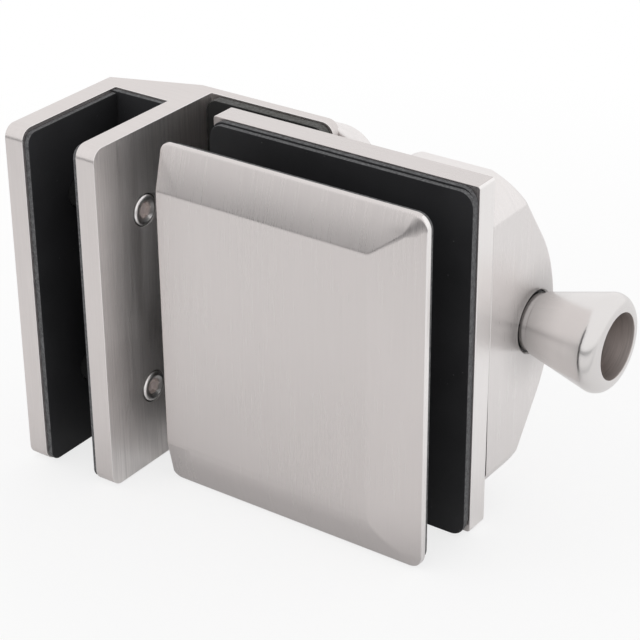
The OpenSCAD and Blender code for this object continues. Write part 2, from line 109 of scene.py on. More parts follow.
def rounded(x0, x1, y0, y1, r, steps=10):
    """Rectangle with round corners, anticlockwise from the lower right one; r is one radius for all or four."""
    radii = (r,) * 4 if isinstance(r, (int, float)) else r
    places = [(x1 - radii[0], y0 + radii[0], -math.pi / 2), (x1 - radii[1], y1 - radii[1], 0),
              (x0 + radii[2], y1 - radii[2], math.pi / 2), (x0 + radii[3], y0 + radii[3], math.pi)]
    out = []
    for (cx, cy, start), radius in zip(places, radii):
        out += corner_arc(cx, cy, radius, start, steps) if radius > 0 else [(cx, cy)]
    return out


def loft(bm, rings):
    """Skins rings of equally many vertices, one after the other, and closes both ends."""
    bm.faces.new(rings[0])
    bm.faces.new(rings[-1][::-1])
    for p, q in zip(rings, rings[1:]):
        for i in range(len(p)):
            j = (i + 1) % len(p)
            bm.faces.new((p[i], q[i], q[j], p[j]))
    return bm


def prism(outline, axis, a, b):
    """Solid with that outline, from a to b along an axis."""
    bm = bmesh.new()
    place = AXES[axis]
    return loft(bm, [[bm.verts.new(place(u, v, w)) for u, v in outline] for w in (a, b)])


def slab(lo, hi, axis, r, steps=10):
    """The box from lo to hi, with round corners as seen along the axis."""
    k = "xyz".index(axis)
    (u0, u1), (v0, v1) = [(lo[i], hi[i]) for i in range(3) if i != k]
    return prism(rounded(u0, u1, v0, v1, r, steps), axis, lo[k], hi[k])


def revolve(section, centre, axis, steps=96, bm=None, hexes=()):
    """Surface of revolution: section is (radius, place along the axis), closed if it starts and ends at radius 0.
    A section point whose index is in hexes lies on a hexagon of that width across corners."""
    bm = bm or bmesh.new()
    place = AXES[axis]
    base = centre["xyz".index(axis)]
    cu, cv = [value for letter, value in zip("xyz", centre) if letter != axis]
    rings = []
    for k, (r, w) in enumerate(section):
        if r <= 0:
            rings.append([bm.verts.new(place(cu, cv, base + w))])
            continue
        ring = []
        for i in range(steps):
            a = 2 * math.pi * i / steps
            reach = r
            if k in hexes:
                reach = r * math.cos(math.pi / 6) / math.cos(a % (math.pi / 3) - math.pi / 6)
            ring.append(bm.verts.new(place(cu + reach * math.cos(a), cv + reach * math.sin(a), base + w)))
        rings.append(ring)
    for p, q in zip(rings, rings[1:]):
        if len(p) == len(q) == 1:
            continue
        for i in range(steps):
            j = (i + 1) % steps
            if len(p) == 1:
                bm.faces.new((p[0], q[i], q[j]))
            elif len(q) == 1:
                bm.faces.new((p[i], q[0], p[j]))
            else:
                bm.faces.new((p[i], q[i], q[j], p[j]))
    return bm


def thing(name, bm):
    """A plain object from a bmesh."""
    bmesh.ops.remove_doubles(bm, verts=bm.verts, dist=1e-7)
    bmesh.ops.recalc_face_normals(bm, faces=bm.faces)
    mesh = bpy.data.meshes.new(name)
    bm.to_mesh(mesh)
    bm.free()
    obj = bpy.data.objects.new(name, mesh)
    bpy.context.scene.collection.objects.link(obj)
    return obj


def settle(obj):
    """Makes the modifiers of an object part of its mesh."""
    bpy.context.view_layer.update()
    done = bpy.data.meshes.new_from_object(obj.evaluated_get(bpy.context.evaluated_depsgraph_get()))
    old = obj.data
    obj.modifiers.clear()
    obj.data = done
    bpy.data.meshes.remove(old)


def combine(obj, shape, how="DIFFERENCE"):
    """Cuts a shape out of an object, or with INTERSECT keeps what lies in the shape."""
    tool = thing("tool", shape)
    m = obj.modifiers.new("shape", "BOOLEAN")
    m.operation, m.solver, m.object = how, "EXACT", tool
    settle(obj)
    mesh = tool.data
    bpy.data.objects.remove(tool)
    bpy.data.meshes.remove(mesh)


def bevel(obj, width, segments=4, angle=30, marked=False):
    """Rounds sharp edges; marked gives the new faces the second material slot."""
    m = obj.modifiers.new("bevel", "BEVEL")
    m.width, m.segments = width, segments
    m.limit_method, m.angle_limit = "ANGLE", math.radians(angle)
    m.use_clamp_overlap = True
    if marked:
        obj.data.materials.append(None)
        obj.data.materials.append(None)
        m.material = 1
    settle(obj)


def finish(obj, materials, body, nodes, angle=38, weigh=True):
    """Smooth shading, materials, and the body that the piece rides on."""
    mesh = obj.data
    marks = [face.material_index for face in mesh.polygons]
    mesh.polygons.foreach_set("use_smooth", [True] * len(mesh.polygons))
    mesh.set_sharp_from_angle(angle=math.radians(angle))
    if weigh:
        m = obj.modifiers.new("normals", "WEIGHTED_NORMAL")
        m.keep_sharp, m.weight = True, 90
    mesh.materials.clear()
    for material in materials:
        mesh.materials.append(material)
    mesh.polygons.foreach_set("material_index", [min(mark, len(materials) - 1) for mark in marks])
    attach(obj, body)
    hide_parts(*nodes)


def paint(obj, choose):
    """Gives each face the material whose number choose returns."""
    for face in obj.data.polygons:
        face.material_index = int(choose(face))


# ---- materials ----

NOISE_RANGE = (0.3, 0.7)  # most of a noise lies in this part of 0 to 1
EDGE_COSINES = (0.995, 0.9)  # where a rounded normal's cosine to the true one makes an edge begin and be full


class Nodes:
    """A node tree that is filled node by node."""

    def __init__(self, tree):
        self.tree = tree

    def add(self, kind, inputs=None, **settings):
        node = self.tree.nodes.new("ShaderNode" + kind)
        for key, value in settings.items():
            setattr(node, key, value)
        for key, value in (inputs or {}).items():
            self.put(node.inputs[key], value)
        return node

    def put(self, socket, value):
        if isinstance(value, bpy.types.NodeSocket):
            self.tree.links.new(value, socket)
        else:
            socket.default_value = value

    def math(self, operation, a, b=0.0):
        return self.add("Math", {0: a, 1: b}, operation=operation).outputs[0]

    def span(self, value, low, high, to_low, to_high):
        """The value from low to high made a number from to_low to to_high, and no further."""
        return self.add("MapRange", {"Value": value, "From Min": low, "From Max": high,
                                     "To Min": to_low, "To Max": to_high}).outputs[0]

    def spread(self, noise, to_low, to_high):
        """A noise spread over a range of its own."""
        return self.span(noise, *NOISE_RANGE, to_low, to_high)

    def pick(self, choice, a, b):
        """The number a where choice is 0 and b where it is 1."""
        return self.add("Mix", {0: choice, 2: a, 3: b}, data_type="FLOAT").outputs[0]

    def mix(self, factor, a, b):
        """The colour a where the factor is 0 and b where it is 1."""
        return self.add("Mix", {0: factor, 6: a, 7: b}, data_type="RGBA").outputs[2]

    def scaled(self, colour, factor):
        return self.add("VectorMath", {0: colour, "Scale": factor}, operation="SCALE").outputs[0]

    def rays(self):
        """1 for what the camera sees directly, and 1 for what it sees in a mirror or through something clear."""
        path = self.add("LightPath").outputs
        return path["Is Camera Ray"], self.math("MAXIMUM", path["Is Glossy Ray"], path["Is Transmission Ray"])


class Look(Nodes):
    """A Principled material, and the parts that the looks share."""

    def __init__(self, name, **settings):
        self.material = bpy.data.materials.new(name)
        self.material.use_nodes = True
        super().__init__(self.material.node_tree)
        self.shader = self.tree.nodes["Principled BSDF"]
        self.spot = self.add("TexCoord").outputs["Object"]
        for key, value in settings.items():
            self.set(key.replace("_", " "), value)

    def set(self, name, value):
        self.put(self.shader.inputs[name], value)

    def noise(self, vector, scale=1.0, detail=3.0, rough=0.55):
        return self.add("TexNoise", {"Vector": vector, "Scale": scale, "Detail": detail,
                                     "Roughness": rough}).outputs["Fac"]

    def streaks(self, across, along, fine, long, detail=3.0):
        """Noise in streaks: fine and long are its steps per metre across and along the grain."""
        place = self.add("CombineXYZ", {"X": self.math("MULTIPLY", across, fine),
                                        "Y": self.math("MULTIPLY", along, long)})
        return self.noise(place.outputs[0], 1.0, detail, 0.6)

    def edge(self, radius):
        """1 on edges sharper than the radius, 0 on flats."""
        soft = self.add("Bevel", {"Radius": radius}, samples=4).outputs[0]
        true = self.add("NewGeometry").outputs["Normal"]
        same = self.add("VectorMath", {0: soft, 1: true}, operation="DOT_PRODUCT").outputs["Value"]
        return self.span(same, *EDGE_COSINES, 0.0, 1.0)

    def bump(self, height, strength, distance):
        self.set("Normal", self.add("Bump", {"Strength": strength, "Distance": distance,
                                             "Height": height}).outputs[0])


# Steps of the grain per metre across and along it, and per radian round a turned piece
FINE_ACROSS, FINE_ALONG = 5200.0, 90.0
COARSE_ACROSS, COARSE_ALONG = 1300.0, 28.0
RING_STEPS, ROUND_STEPS, WIDE_RINGS = 4200.0, 0.8, (0.17, 0.17, 1.3)
FINE_SHARE = 0.55  # how much of the grain the fine noise makes up
LEVEL = 0.85  # a face whose normal's Z passes this is level, and its grain runs along X
# Reach of the edges lightened as rubbed wear and painted highlight, of the painted shade in crevices, and of the
# grain's bump
WORN_LIT_EDGE, CREVICE_SHADE, GRAIN_DEEP = 0.5 * MM, 14 * MM, 0.1 * MM
AO_RANGE = (0.25, 0.9)  # how open a place is where the painted crevice shade is at its darkest, and where it ends
# How far roughness swings with straight grain, with turned grain and with the clouds, and tone with the clouds
GLOSS_SWING, TURNED_SWING, CLOUD_SWING, CLOUD_TONE = 0.065, 0.02, 0.03, 0.02
# Steps per metre of steel's clouds, of rubber's pores, clouds, dust, patches of dust and scuffs, and of plastic's
# skin and clouds
STEEL_CLOUD = 34.0
PORES, RUBBER_CLOUD, DUST, DUST_PATCH, SCUFFS = 2600.0, 60.0, 420.0, 150.0, 1400.0
SKIN, PLASTIC_CLOUD = 1500.0, 90.0
DUST_SIZE, DUST_FROM = 0.075, 0.56  # of a grain, in its cell, and the noise from which a place is dusty
SCUFF_GREY, DUST_GREY = (0.36, 0.36, 0.37, 1), (0.2, 0.2, 0.2, 1)


def straight_grain(look, scale):
    """Fine and coarse noise in streaks, which run up and down on upright faces and along X on level ones, and the
    direction across them."""
    normal = look.add("SeparateXYZ", {0: look.add("TexCoord").outputs["Normal"]})
    spot = look.add("SeparateXYZ", {0: look.spot})
    size = [look.math("ABSOLUTE", normal.outputs[k]) for k in "XYZ"]
    side = look.math("GREATER_THAN", size[0], size[1])
    level = look.math("GREATER_THAN", size[2], LEVEL)
    across = look.pick(level, look.pick(side, spot.outputs["X"], spot.outputs["Y"]), spot.outputs["Y"])
    along = look.pick(level, spot.outputs["Z"], spot.outputs["X"])
    axis = look.add("Mix", {0: level, 4: (0, 0, 1), 5: (1, 0, 0)}, data_type="VECTOR").outputs[1]
    facing = look.add("NewGeometry").outputs["Normal"]
    tangent = look.add("VectorMath", {0: facing, 1: axis}, operation="CROSS_PRODUCT").outputs[0]
    return (look.streaks(across, along, FINE_ACROSS * scale, FINE_ALONG * scale, 4.0),
            look.streaks(across, along, COARSE_ACROSS * scale, COARSE_ALONG), tangent)


def turned_grain(look):
    """Fine and coarse noise in rings about the bolt's axis, and the direction round it."""
    about = look.add("VectorMath", {0: look.spot, 1: (0, AXIS_Y, 0)}, operation="SUBTRACT").outputs[0]
    x, y, z = look.add("SeparateXYZ", {0: about}).outputs
    radius = look.math("SQRT", look.math("ADD", look.math("MULTIPLY", y, y), look.math("MULTIPLY", z, z)))
    ring = look.add("CombineXYZ", {"X": look.math("MULTIPLY", x, RING_STEPS),
                                   "Y": look.math("MULTIPLY", radius, RING_STEPS),
                                   "Z": look.math("MULTIPLY", look.math("ARCTAN2", z, y), ROUND_STEPS)}).outputs[0]
    wide = look.add("VectorMath", {0: ring, 1: WIDE_RINGS}, operation="MULTIPLY").outputs[0]
    around = look.add("CombineXYZ", {"X": 0.0, "Y": look.math("MULTIPLY", z, -1.0), "Z": y}).outputs[0]
    tangent = look.add("VectorMath", {0: around}, operation="NORMALIZE").outputs[0]
    return look.noise(ring, 1.0, 3.0), look.noise(wide, 1.0, 2.0), tangent


def brushed(name, colour, rough=0.3, depth=0.05, streak=0.05, anisotropy=0.55, turned=False, edge_light=0.03,
            grain_scale=1.0, shade=0.0):
    """Brushed or turned steel: fine and coarse grain in bump, gloss and tone, edges lightened as rubbed wear and
    painted highlight, and painted shade in crevices.
    """
    look = Look(name, Metallic=1.0, Roughness=rough, Anisotropic=anisotropy)
    fine, coarse, tangent = turned_grain(look) if turned else straight_grain(look, grain_scale)
    look.set("Tangent", tangent)
    if turned:
        look.set("Anisotropic Rotation", 0.25)
    cloud = look.noise(look.spot, STEEL_CLOUD, 2.0)
    grain = look.math("ADD", look.math("MULTIPLY", fine, FINE_SHARE),
                      look.math("MULTIPLY", coarse, 1 - FINE_SHARE))
    tone = look.math("ADD", look.spread(grain, 1 - streak, 1 + streak), look.spread(cloud, -CLOUD_TONE, CLOUD_TONE))
    # Edges lighter: partly rubbed wear, partly painted highlight.
    tone = look.math("ADD", tone, look.math("MULTIPLY", look.edge(WORN_LIT_EDGE), edge_light))
    # Painted shade: tone darker where the ambient occlusion finds the place closed in.
    if shade:
        open_sky = look.add("AmbientOcclusion", {"Distance": CREVICE_SHADE}).outputs["AO"]
        tone = look.math("MULTIPLY", tone, look.span(open_sky, *AO_RANGE, 1 - shade, 1.0))
    look.set("Base Color", look.scaled(colour, tone))
    swing = TURNED_SWING if turned else GLOSS_SWING
    look.set("Roughness", look.math("ADD", look.spread(grain, rough + swing, rough - swing),
                                    look.spread(cloud, -CLOUD_SWING, CLOUD_SWING)))
    look.bump(grain, depth, GRAIN_DEEP)
    return look.material


def rubber(name, colour, rough=0.62, speck=0.5, grey=0.0):
    """Moulded or cut rubber: pores, dust, and tone that varies; grey adds the scuffs of a die-cut edge."""
    look = Look(name, Roughness=rough, Specular_IOR_Level=0.35)
    pores = look.noise(look.spot, PORES, 3.0, 0.7)
    cloud = look.noise(look.spot, RUBBER_CLOUD, 3.0)
    dust = look.add("TexVoronoi", {"Vector": look.spot, "Scale": DUST, "Randomness": 1.0}).outputs["Distance"]
    dusty = look.math("MULTIPLY", look.math("LESS_THAN", dust, DUST_SIZE),
                      look.math("GREATER_THAN", look.noise(look.spot, DUST_PATCH, 1.0), DUST_FROM))
    plain = look.scaled(colour, look.span(look.math("ADD", pores, cloud), 0.6, 1.4, 0.75, 1.3))
    if grey:
        scuff = look.noise(look.spot, SCUFFS, 4.0, 0.75)
        plain = look.mix(look.span(scuff, 0.35, 0.65, 0.0, grey), plain, SCUFF_GREY)
    look.set("Base Color", look.mix(look.math("MULTIPLY", dusty, speck * 0.5), plain, DUST_GREY))
    look.set("Roughness", look.spread(cloud, rough - 0.07, rough + 0.08))
    look.bump(pores, 0.25, 0.05 * MM)
    return look.material


def plastic(name, colour, rough=0.45):
    """Plain moulded plastic with a faint orange-peel skin."""
    look = Look(name, Roughness=rough)
    skin, cloud = look.noise(look.spot, SKIN, 3.0), look.noise(look.spot, PLASTIC_CLOUD, 2.0)
    look.set("Base Color", look.scaled(colour, look.spread(cloud, 0.92, 1.06)))
    look.set("Roughness", look.spread(skin, rough - 0.06, rough + 0.08))
    look.bump(skin, 0.15, 0.04 * MM)
    return look.material


# Sheet and cast steel. The faces mirror the studio; the rounded edges, the plates' right sides and the inner leg's
# outer face get lighter copies of the steel as painted highlight, and the cast parts were finished brighter.
stainless = brushed("stainless", (0.745, 0.7, 0.686), rough=0.36, depth=0.12, streak=0.03, anisotropy=0.75)
stainless_lit_edge = brushed("stainless_lit_edge", (0.86, 0.83, 0.82), rough=0.32, depth=0.03, streak=0.03,
                         anisotropy=0.3)
stainless_lit_rim = brushed("stainless_lit_rim", (0.94, 0.91, 0.9), rough=0.34, depth=0.03, streak=0.015,
                        anisotropy=0.3)
stainless_lit_leg = brushed("stainless_lit_leg", (0.9, 0.865, 0.85), rough=0.41, depth=0.04, streak=0.18,
                        anisotropy=0.78, grain_scale=0.6)
stainless_face = brushed("stainless_face", (0.71, 0.667, 0.655), rough=0.31, depth=0.05, streak=0.01,
                         anisotropy=0.7)
# The cast parts get painted shade in their crevices (the shade argument).
stainless_cast = brushed("stainless_cast", (0.88, 0.845, 0.835), rough=0.32, depth=0.04, streak=0.012,
                         anisotropy=0.85, shade=0.5)
# Turned pieces
# The knob gets painted shade in its crevices too.
knob_stainless = brushed("knob_stainless", (0.77, 0.745, 0.735), rough=0.25, depth=0.006, streak=0.01,
                         anisotropy=0.3, turned=True, shade=0.35)
recess_steel = brushed("recess_steel", (0.62, 0.57, 0.55), rough=0.42, depth=0.12, streak=0.16,
                       anisotropy=0.3, turned=True, edge_light=0.0)
bolt_steel = brushed("bolt_steel", (0.6, 0.59, 0.58), rough=0.18, depth=0.03, streak=0.04,
                     anisotropy=0.3, turned=True)
brass = brushed("bush_brass", (0.72, 0.5, 0.22), rough=0.28, depth=0.04, streak=0.06,
                anisotropy=0.3, turned=True)
# Screws and wire
screw_steel = brushed("screw_steel", (0.9, 0.88, 0.87), rough=0.36, depth=0.04, streak=0.05, anisotropy=0.2)
socket_steel = brushed("socket_steel", (0.8, 0.74, 0.72), rough=0.5, depth=0.08, streak=0.15, anisotropy=0.1)
dark_screw = brushed("dark_screw", (0.3, 0.28, 0.27), rough=0.4, depth=0.1, streak=0.12, anisotropy=0.1)
spring_steel = brushed("spring_steel", (0.42, 0.42, 0.42), rough=0.3, depth=0.05, streak=0.08, anisotropy=0.1)
# Rubber and plastic
pad_rubber = rubber("pad_rubber", (0.021, 0.021, 0.023), rough=0.6, speck=0.7)
pad_edge = rubber("pad_edge", (0.045, 0.045, 0.047), rough=0.7, grey=0.36)
bumper_rubber = rubber("bumper_rubber", (0.018, 0.018, 0.018), rough=0.68, speck=0.8)
bumper_edge = rubber("bumper_edge", (0.045, 0.043, 0.037), rough=0.75, grey=0.3)
bush_plastic = plastic("bush_plastic", (0.02, 0.02, 0.02), 0.42)
sleeve_plastic = plastic("sleeve_plastic", (0.003, 0.003, 0.003), 0.9)


# ---- keeper ----

OUTER_OUT, OUTER_IN = keeper_lo.x, outer_pad_lo.x
INNER_IN, INNER_OUT = inner_pad_hi.x, inner_pad_hi.x + (outer_pad_lo.x - keeper_lo.x)
TIP_Y, FLOOR_Y = keeper_lo.y, base_pad_hi.y
ARM_FRONT, ARM_REAR = bumper_hi.y, bumper_hi.y + 3.1 * MM
ARM_END, RIM_END = bumper_hi.x + 0.5 * MM, keeper_hi.x
HALF_H = keeper_hi.z
SLANT_X, SLANT_Y = 24.8 * MM, 9.4 * MM
LEG_R = 3.5 * MM
KEEPER_EDGE = 0.7 * MM
SCREW_Z, SCREW_Y = 26.4 * MM, TIP_Y + 18.75 * MM
HEAD_R, HEAD_H, HEAD_PROUD, HEAD_GAP = 4.25 * MM, 5 * MM, 0.6 * MM, 0.3 * MM
PAST, FAR_PAST = 5 * MM, 20 * MM  # how far a cutting shape reaches out of the piece


def pair(x, y):
    """The places of the low and the high screw at that x and y."""
    return [(x, y, sign * SCREW_Z) for sign in (-1, 1)]


outline = [(OUTER_OUT, TIP_Y), (OUTER_IN, TIP_Y), (OUTER_IN, FLOOR_Y), (INNER_IN, FLOOR_Y), (INNER_IN, TIP_Y),
           (INNER_OUT, TIP_Y), (INNER_OUT, ARM_FRONT), (ARM_END, ARM_FRONT), (ARM_END, ARM_REAR),
           (OUTER_OUT + SLANT_X, ARM_REAR), (OUTER_OUT, ARM_REAR - SLANT_Y)]
keeper = thing("keeper", prism(outline, "z", -HALF_H, HALF_H))
from_side = rounded(TIP_Y, ARM_REAR + FAR_PAST, -HALF_H, HALF_H, (0, 0, LEG_R, LEG_R))
combine(keeper, prism(from_side, "x", OUTER_OUT - PAST, ARM_END + PAST), "INTERSECT")
from_front = rounded(OUTER_OUT - FAR_PAST, ARM_END, -HALF_H, HALF_H, (LEG_R, LEG_R, 0, 0))
combine(keeper, prism(from_front, "y", TIP_Y - PAST, ARM_REAR + PAST), "INTERSECT")
# The rounded edges take the second material, a lighter copy of the steel as painted highlight.
bevel(keeper, KEEPER_EDGE, marked=True)
HEAD_HOLE_R, HOLE_FLOOR, HOLE_TOP = HEAD_R + HEAD_GAP, HEAD_PROUD - HEAD_H, 2 * MM
MOUTH_R = HEAD_HOLE_R + 0.12 * MM
hole = [(0, HOLE_FLOOR), (HEAD_HOLE_R, HOLE_FLOOR), (HEAD_HOLE_R, -0.1 * MM), (MOUTH_R, 0.02 * MM),
        (MOUTH_R, HOLE_TOP), (0, HOLE_TOP)]
for spot in pair(INNER_OUT, SCREW_Y):
    combine(keeper, revolve(hole, spot, "x"))
finish(keeper, [stainless, stainless_lit_edge, stainless_lit_leg], "keeper", ["keeper_bracket"])


def keeper_look(face):
    """The inner leg's outer face, which stands beside the plate, has a look of its own: a lighter copy of the steel,
    painted light.
    """
    flat = face.material_index == 0 and abs(face.normal.x) > 0.7
    return 2 if flat and abs(face.center.x - INNER_OUT) < KEEPER_EDGE else face.material_index


paint(keeper, keeper_look)

# The flared ramp: rounded outlines from just inside the arm's rear face to the rim
RIM_W, RIM_DROP, RIM_R, RIM_DEPTH, RAMP_BACK = 36 * MM, 3.8 * MM, 11 * MM, 1.8 * MM, 5 * MM
ROOT_SINK, ROOT_END, ROOT_DROP = 1 * MM, 0.1 * MM, 0.15 * MM  # how far the ramp's root lies within the arm
RAMP_STEPS, RAMP_CORNER_STEPS, RAMP_EDGE = 14, 20, 0.5 * MM
bm = bmesh.new()
rings = []
for k in range(RAMP_STEPS + 2):
    t = min(k / RAMP_STEPS, 1)
    y = between(ARM_REAR - ROOT_SINK, keeper_hi.y - RIM_DEPTH, t) if k <= RAMP_STEPS else keeper_hi.y
    half = between(HALF_H - ROOT_DROP, HALF_H - RIM_DROP, t)
    ring = rounded(between(RIM_END - RIM_W - RAMP_BACK, RIM_END - RIM_W, t), between(ARM_END - ROOT_END, RIM_END, t),
                   -half, half, between(LEG_R, RIM_R, t), RAMP_CORNER_STEPS)
    rings.append([bm.verts.new((u, y, v)) for u, v in ring])
ramp = thing("strike_ramp", loft(bm, rings))
bevel(ramp, RAMP_EDGE)
finish(ramp, [stainless_cast], "keeper", ["keeper_bracket"])

# Die-cut pads, which are glued on
PAD_R, LEG_PAD_R = 4 * MM, 3 * MM
PAD_T = outer_pad_hi.x - outer_pad_lo.x
PAD_EDGE, BUMPER_EDGE = 0.22 * MM, 0.35 * MM
SAG = Vector((0, 0, -0.45 * MM))  # the pads of the photographed sample sit a little low
ASIDE = Vector((0.4 * MM, 0, 0))  # and the layer that faces the glass a little to the right
pad_looks = [pad_rubber, pad_edge]


def cut_pad(name, node, shape, axis, body, spots=(), hole_r=0.0, looks=pad_looks, edge=PAD_EDGE):
    """A die-cut pad: small edge rounding, round holes at the spots, black faces and grey cut edges."""
    pad = thing(name, shape)
    bevel(pad, edge, segments=2, angle=40)
    hole = [(0, -PAD_T), (hole_r, -PAD_T), (hole_r, 2 * PAD_T), (0, 2 * PAD_T)]
    for spot in spots:
        combine(pad, revolve(hole, spot, axis))
    finish(pad, looks, body, [node])
    across = "xyz".index(axis)
    paint(pad, lambda face: abs(face.normal[across]) <= 0.9)


for node, lo, hi in (("keeper_pad_outer", outer_pad_lo, outer_pad_hi),
                     ("keeper_pad_inner", inner_pad_lo, inner_pad_hi)):
    shape = slab(lo + SAG, hi + SAG, "x", (0, 0, LEG_PAD_R, LEG_PAD_R))
    cut_pad(node + "_rubber", node, shape, "x", "keeper", pair(lo.x, SCREW_Y), HEAD_HOLE_R)
cut_pad("keeper_pad_base_rubber", "keeper_pad_base", slab(base_pad_lo, base_pad_hi, "y", 0), "y", "keeper")
cut_pad("bumper_rubber", "bumper_pad", slab(bumper_lo, bumper_hi, "y", LEG_R), "y", "keeper",
        looks=[bumper_rubber, bumper_edge], edge=BUMPER_EDGE)


# ---- gate clamp ----

FRONT_X0, FRONT_X1, FRONT_Z = front_lo.x, front_hi.x, front_hi.z
CROWN_Y, FRONT_REAR = front_lo.y, front_pad_lo.y
EDGE_T = 1.5 * MM
EDGE_Y = FRONT_REAR - EDGE_T
RISE = EDGE_Y - CROWN_Y
BEVEL_H, BEVEL_W, FRONT_R, LEFT_R = 12.6 * MM, 15 * MM, 4 * MM, 2.2 * MM
CREASE, SOFT_CORNER = 0.12 * MM, 1.5 * MM
BELLY, LOW_BELLY = 0.12, 0.95  # how much a bevel curves: the bottom one rolls over more
RIGHT_RISE = 0.35 * MM  # the right edge is a little thicker than the top one
EDGE_ROUND = 0.3 * MM
CREASE_W = CREASE / (RISE * (1 - BELLY)) * BEVEL_H
CREASE_ROWS = (-1, -0.66, -0.33, 0, 0.33, 0.66, 1)  # rows across a crease, in widths of CREASE_W
CORNER_STEPS, SIDE_STEPS, LEFT_STEPS, EDGE_STEPS, BEVEL_STEPS = 16, 24, 8, 6, 24


def soft_max(a, b, k):
    """The larger of two numbers, with the change between them eased over k."""
    h = max(k - abs(a - b), 0) / k
    return max(a, b) + h * h * k / 4


def bevel_rise(share, belly=BELLY):
    """Rise of a bevel at a share of its width from the plate's edge, steeper at the edge by the belly."""
    return share + belly * share * (1 - share) if share < 1 else 1 + (1 - BELLY) * (share - 1)


def bevel_share(rise, belly):
    """The share of its width at which a bevel has that rise."""
    root = math.sqrt(max((1 + belly) ** 2 - 4 * belly * rise, 0))
    return (1 + belly - root) / (2 * belly) if rise < 1 else rise


def front_surface(x, z):
    """Y of the pillow's front at a point: a flat crown, and bevels at the top, the bottom and the right, whose
    mitres soften towards the plate's corners."""
    from_right = (FRONT_X1 - x) / BEVEL_W
    soft = CREASE + SOFT_CORNER * max(1 - max(from_right, 0), 0) ** 2
    slope = soft_max(EDGE_Y - RISE * bevel_rise((FRONT_Z - abs(z)) / BEVEL_H, BELLY if z > 0 else LOW_BELLY),
                     EDGE_Y - RIGHT_RISE - (RISE - RIGHT_RISE) * bevel_rise(from_right), soft)
    return soft_max(CROWN_Y, slope, CREASE)


def plate_ring(left, right, low, high, r_left, r_right):
    """Rounded outline of the front plate, moved inwards by those amounts, with the same number of points always.
    Its left side has points where the creases of the top and bottom bevels cross it."""
    corners = rounded(FRONT_X0 + left, FRONT_X1 - right, low - FRONT_Z, FRONT_Z - high,
                      (r_right, r_right, r_left, r_left), CORNER_STEPS)
    crease = FRONT_Z - BEVEL_H
    levels = [crease + CREASE_W * k for k in reversed(CREASE_ROWS)]
    middle = [crease * k / LEFT_STEPS for k in range(LEFT_STEPS - 1, -LEFT_STEPS, -1)]
    levels = levels + middle + [-v for v in reversed(levels)]
    out = []
    for c in range(4):
        arc = corners[c * (CORNER_STEPS + 1):(c + 1) * (CORNER_STEPS + 1)]
        out += arc
        a, b = arc[-1], corners[((c + 1) * (CORNER_STEPS + 1)) % len(corners)]
        if c == 2:
            out += [(a[0], max(min(v, a[1]), b[1])) for v in levels]
        else:
            out += [(between(a[0], b[0], i / SIDE_STEPS), between(a[1], b[1], i / SIDE_STEPS))
                    for i in range(1, SIDE_STEPS)]
    return out


bm = bmesh.new()
rows = []


def add_row(ring, depth):
    """A row of vertices on a ring, at the Y that depth gives for each point."""
    rows.append([bm.verts.new((x, depth(x, z), z)) for x, z in ring])


# The small rounding at the rear, the side wall, the rounding at the front, and the bevels up to the crown
REAR_ROUND, REAR_MIDDLE = 0.3 * MM, 0.08 * MM
for inset, y in ((REAR_ROUND, FRONT_REAR), (REAR_MIDDLE, FRONT_REAR - REAR_MIDDLE), (0, FRONT_REAR - REAR_ROUND)):
    add_row(plate_ring(inset, inset, inset, inset, LEFT_R, FRONT_R), lambda x, z: y)
for k in range(EDGE_STEPS + 1):
    inset = EDGE_ROUND * (1 - math.cos(math.pi / 2 * k / EDGE_STEPS))
    drop = EDGE_ROUND - math.sqrt(EDGE_ROUND ** 2 - (EDGE_ROUND - inset) ** 2)
    add_row(plate_ring(inset, inset, inset, inset, LEFT_R, FRONT_R), lambda x, z: front_surface(x, z) + drop)
start, crest = EDGE_ROUND / BEVEL_W, CREASE_W / BEVEL_H
EVEN_OUT = 0.15  # by this share of the bevel, the rows have passed from an even inset to one level
LEFT_STEP = 8 * MM  # how far the rows move in at the left, where no bevel is
SHRINK, LEAST_LEFT_R, LEAST_RIGHT_R = 0.6, 0.3 * MM, 0.7 * MM  # how the rows' corners tighten as they move in
shares = [start + (1 - crest - start) * k / BEVEL_STEPS for k in range(1, BEVEL_STEPS + 1)]
shares += [1 + crest * k for k in CREASE_ROWS[1:]]
for share in shares:
    right = share * BEVEL_W
    rise = RIGHT_RISE / RISE + (1 - RIGHT_RISE / RISE) * bevel_rise(share) if share < 1 else share
    low, high = [between(EDGE_ROUND, BEVEL_H * bevel_share(rise, belly), min((share - start) / EVEN_OUT, 1))
                 for belly in (LOW_BELLY, BELLY)]
    left = EDGE_ROUND + LEFT_STEP * (share - start)
    add_row(plate_ring(left, right, low, high, max(LEFT_R - SHRINK * left, LEAST_LEFT_R),
                       max(FRONT_R - SHRINK * right, LEAST_RIGHT_R)), front_surface)
loft(bm, rows)

# Bosses for the clamp screws, which grow out of the plate's rear
BOSS_X, BOSS_R, BOSS_BORE, BOSS_DEEP = -6.5 * MM, 6 * MM, 3.05 * MM, 8.1 * MM
BOSS_END, BOSS_EDGE, BORE_EDGE = front_hi.y, 0.4 * MM, 0.3 * MM
boss = [(BOSS_BORE, FRONT_REAR + BOSS_DEEP), (BOSS_BORE, BOSS_END - BORE_EDGE), (BOSS_BORE + BORE_EDGE, BOSS_END),
        (BOSS_R - BOSS_EDGE, BOSS_END), (BOSS_R, BOSS_END - BOSS_EDGE), (BOSS_R, FRONT_REAR - BOSS_EDGE),
        (0, FRONT_REAR - BOSS_EDGE), (0, FRONT_REAR + BOSS_DEEP), (BOSS_BORE, FRONT_REAR + BOSS_DEEP)]
for spot in pair(BOSS_X, 0):
    revolve(boss, spot, "y", steps=64, bm=bm)
front = thing("front", bm)
finish(front, [stainless_face, stainless_lit_rim], "latch", ["front_plate"], angle=45)
# The plate's sides that face +X take the lighter copy of the steel, a painted highlight.
paint(front, lambda face: face.normal.x > 0.5 and face.center.y < FRONT_REAR)

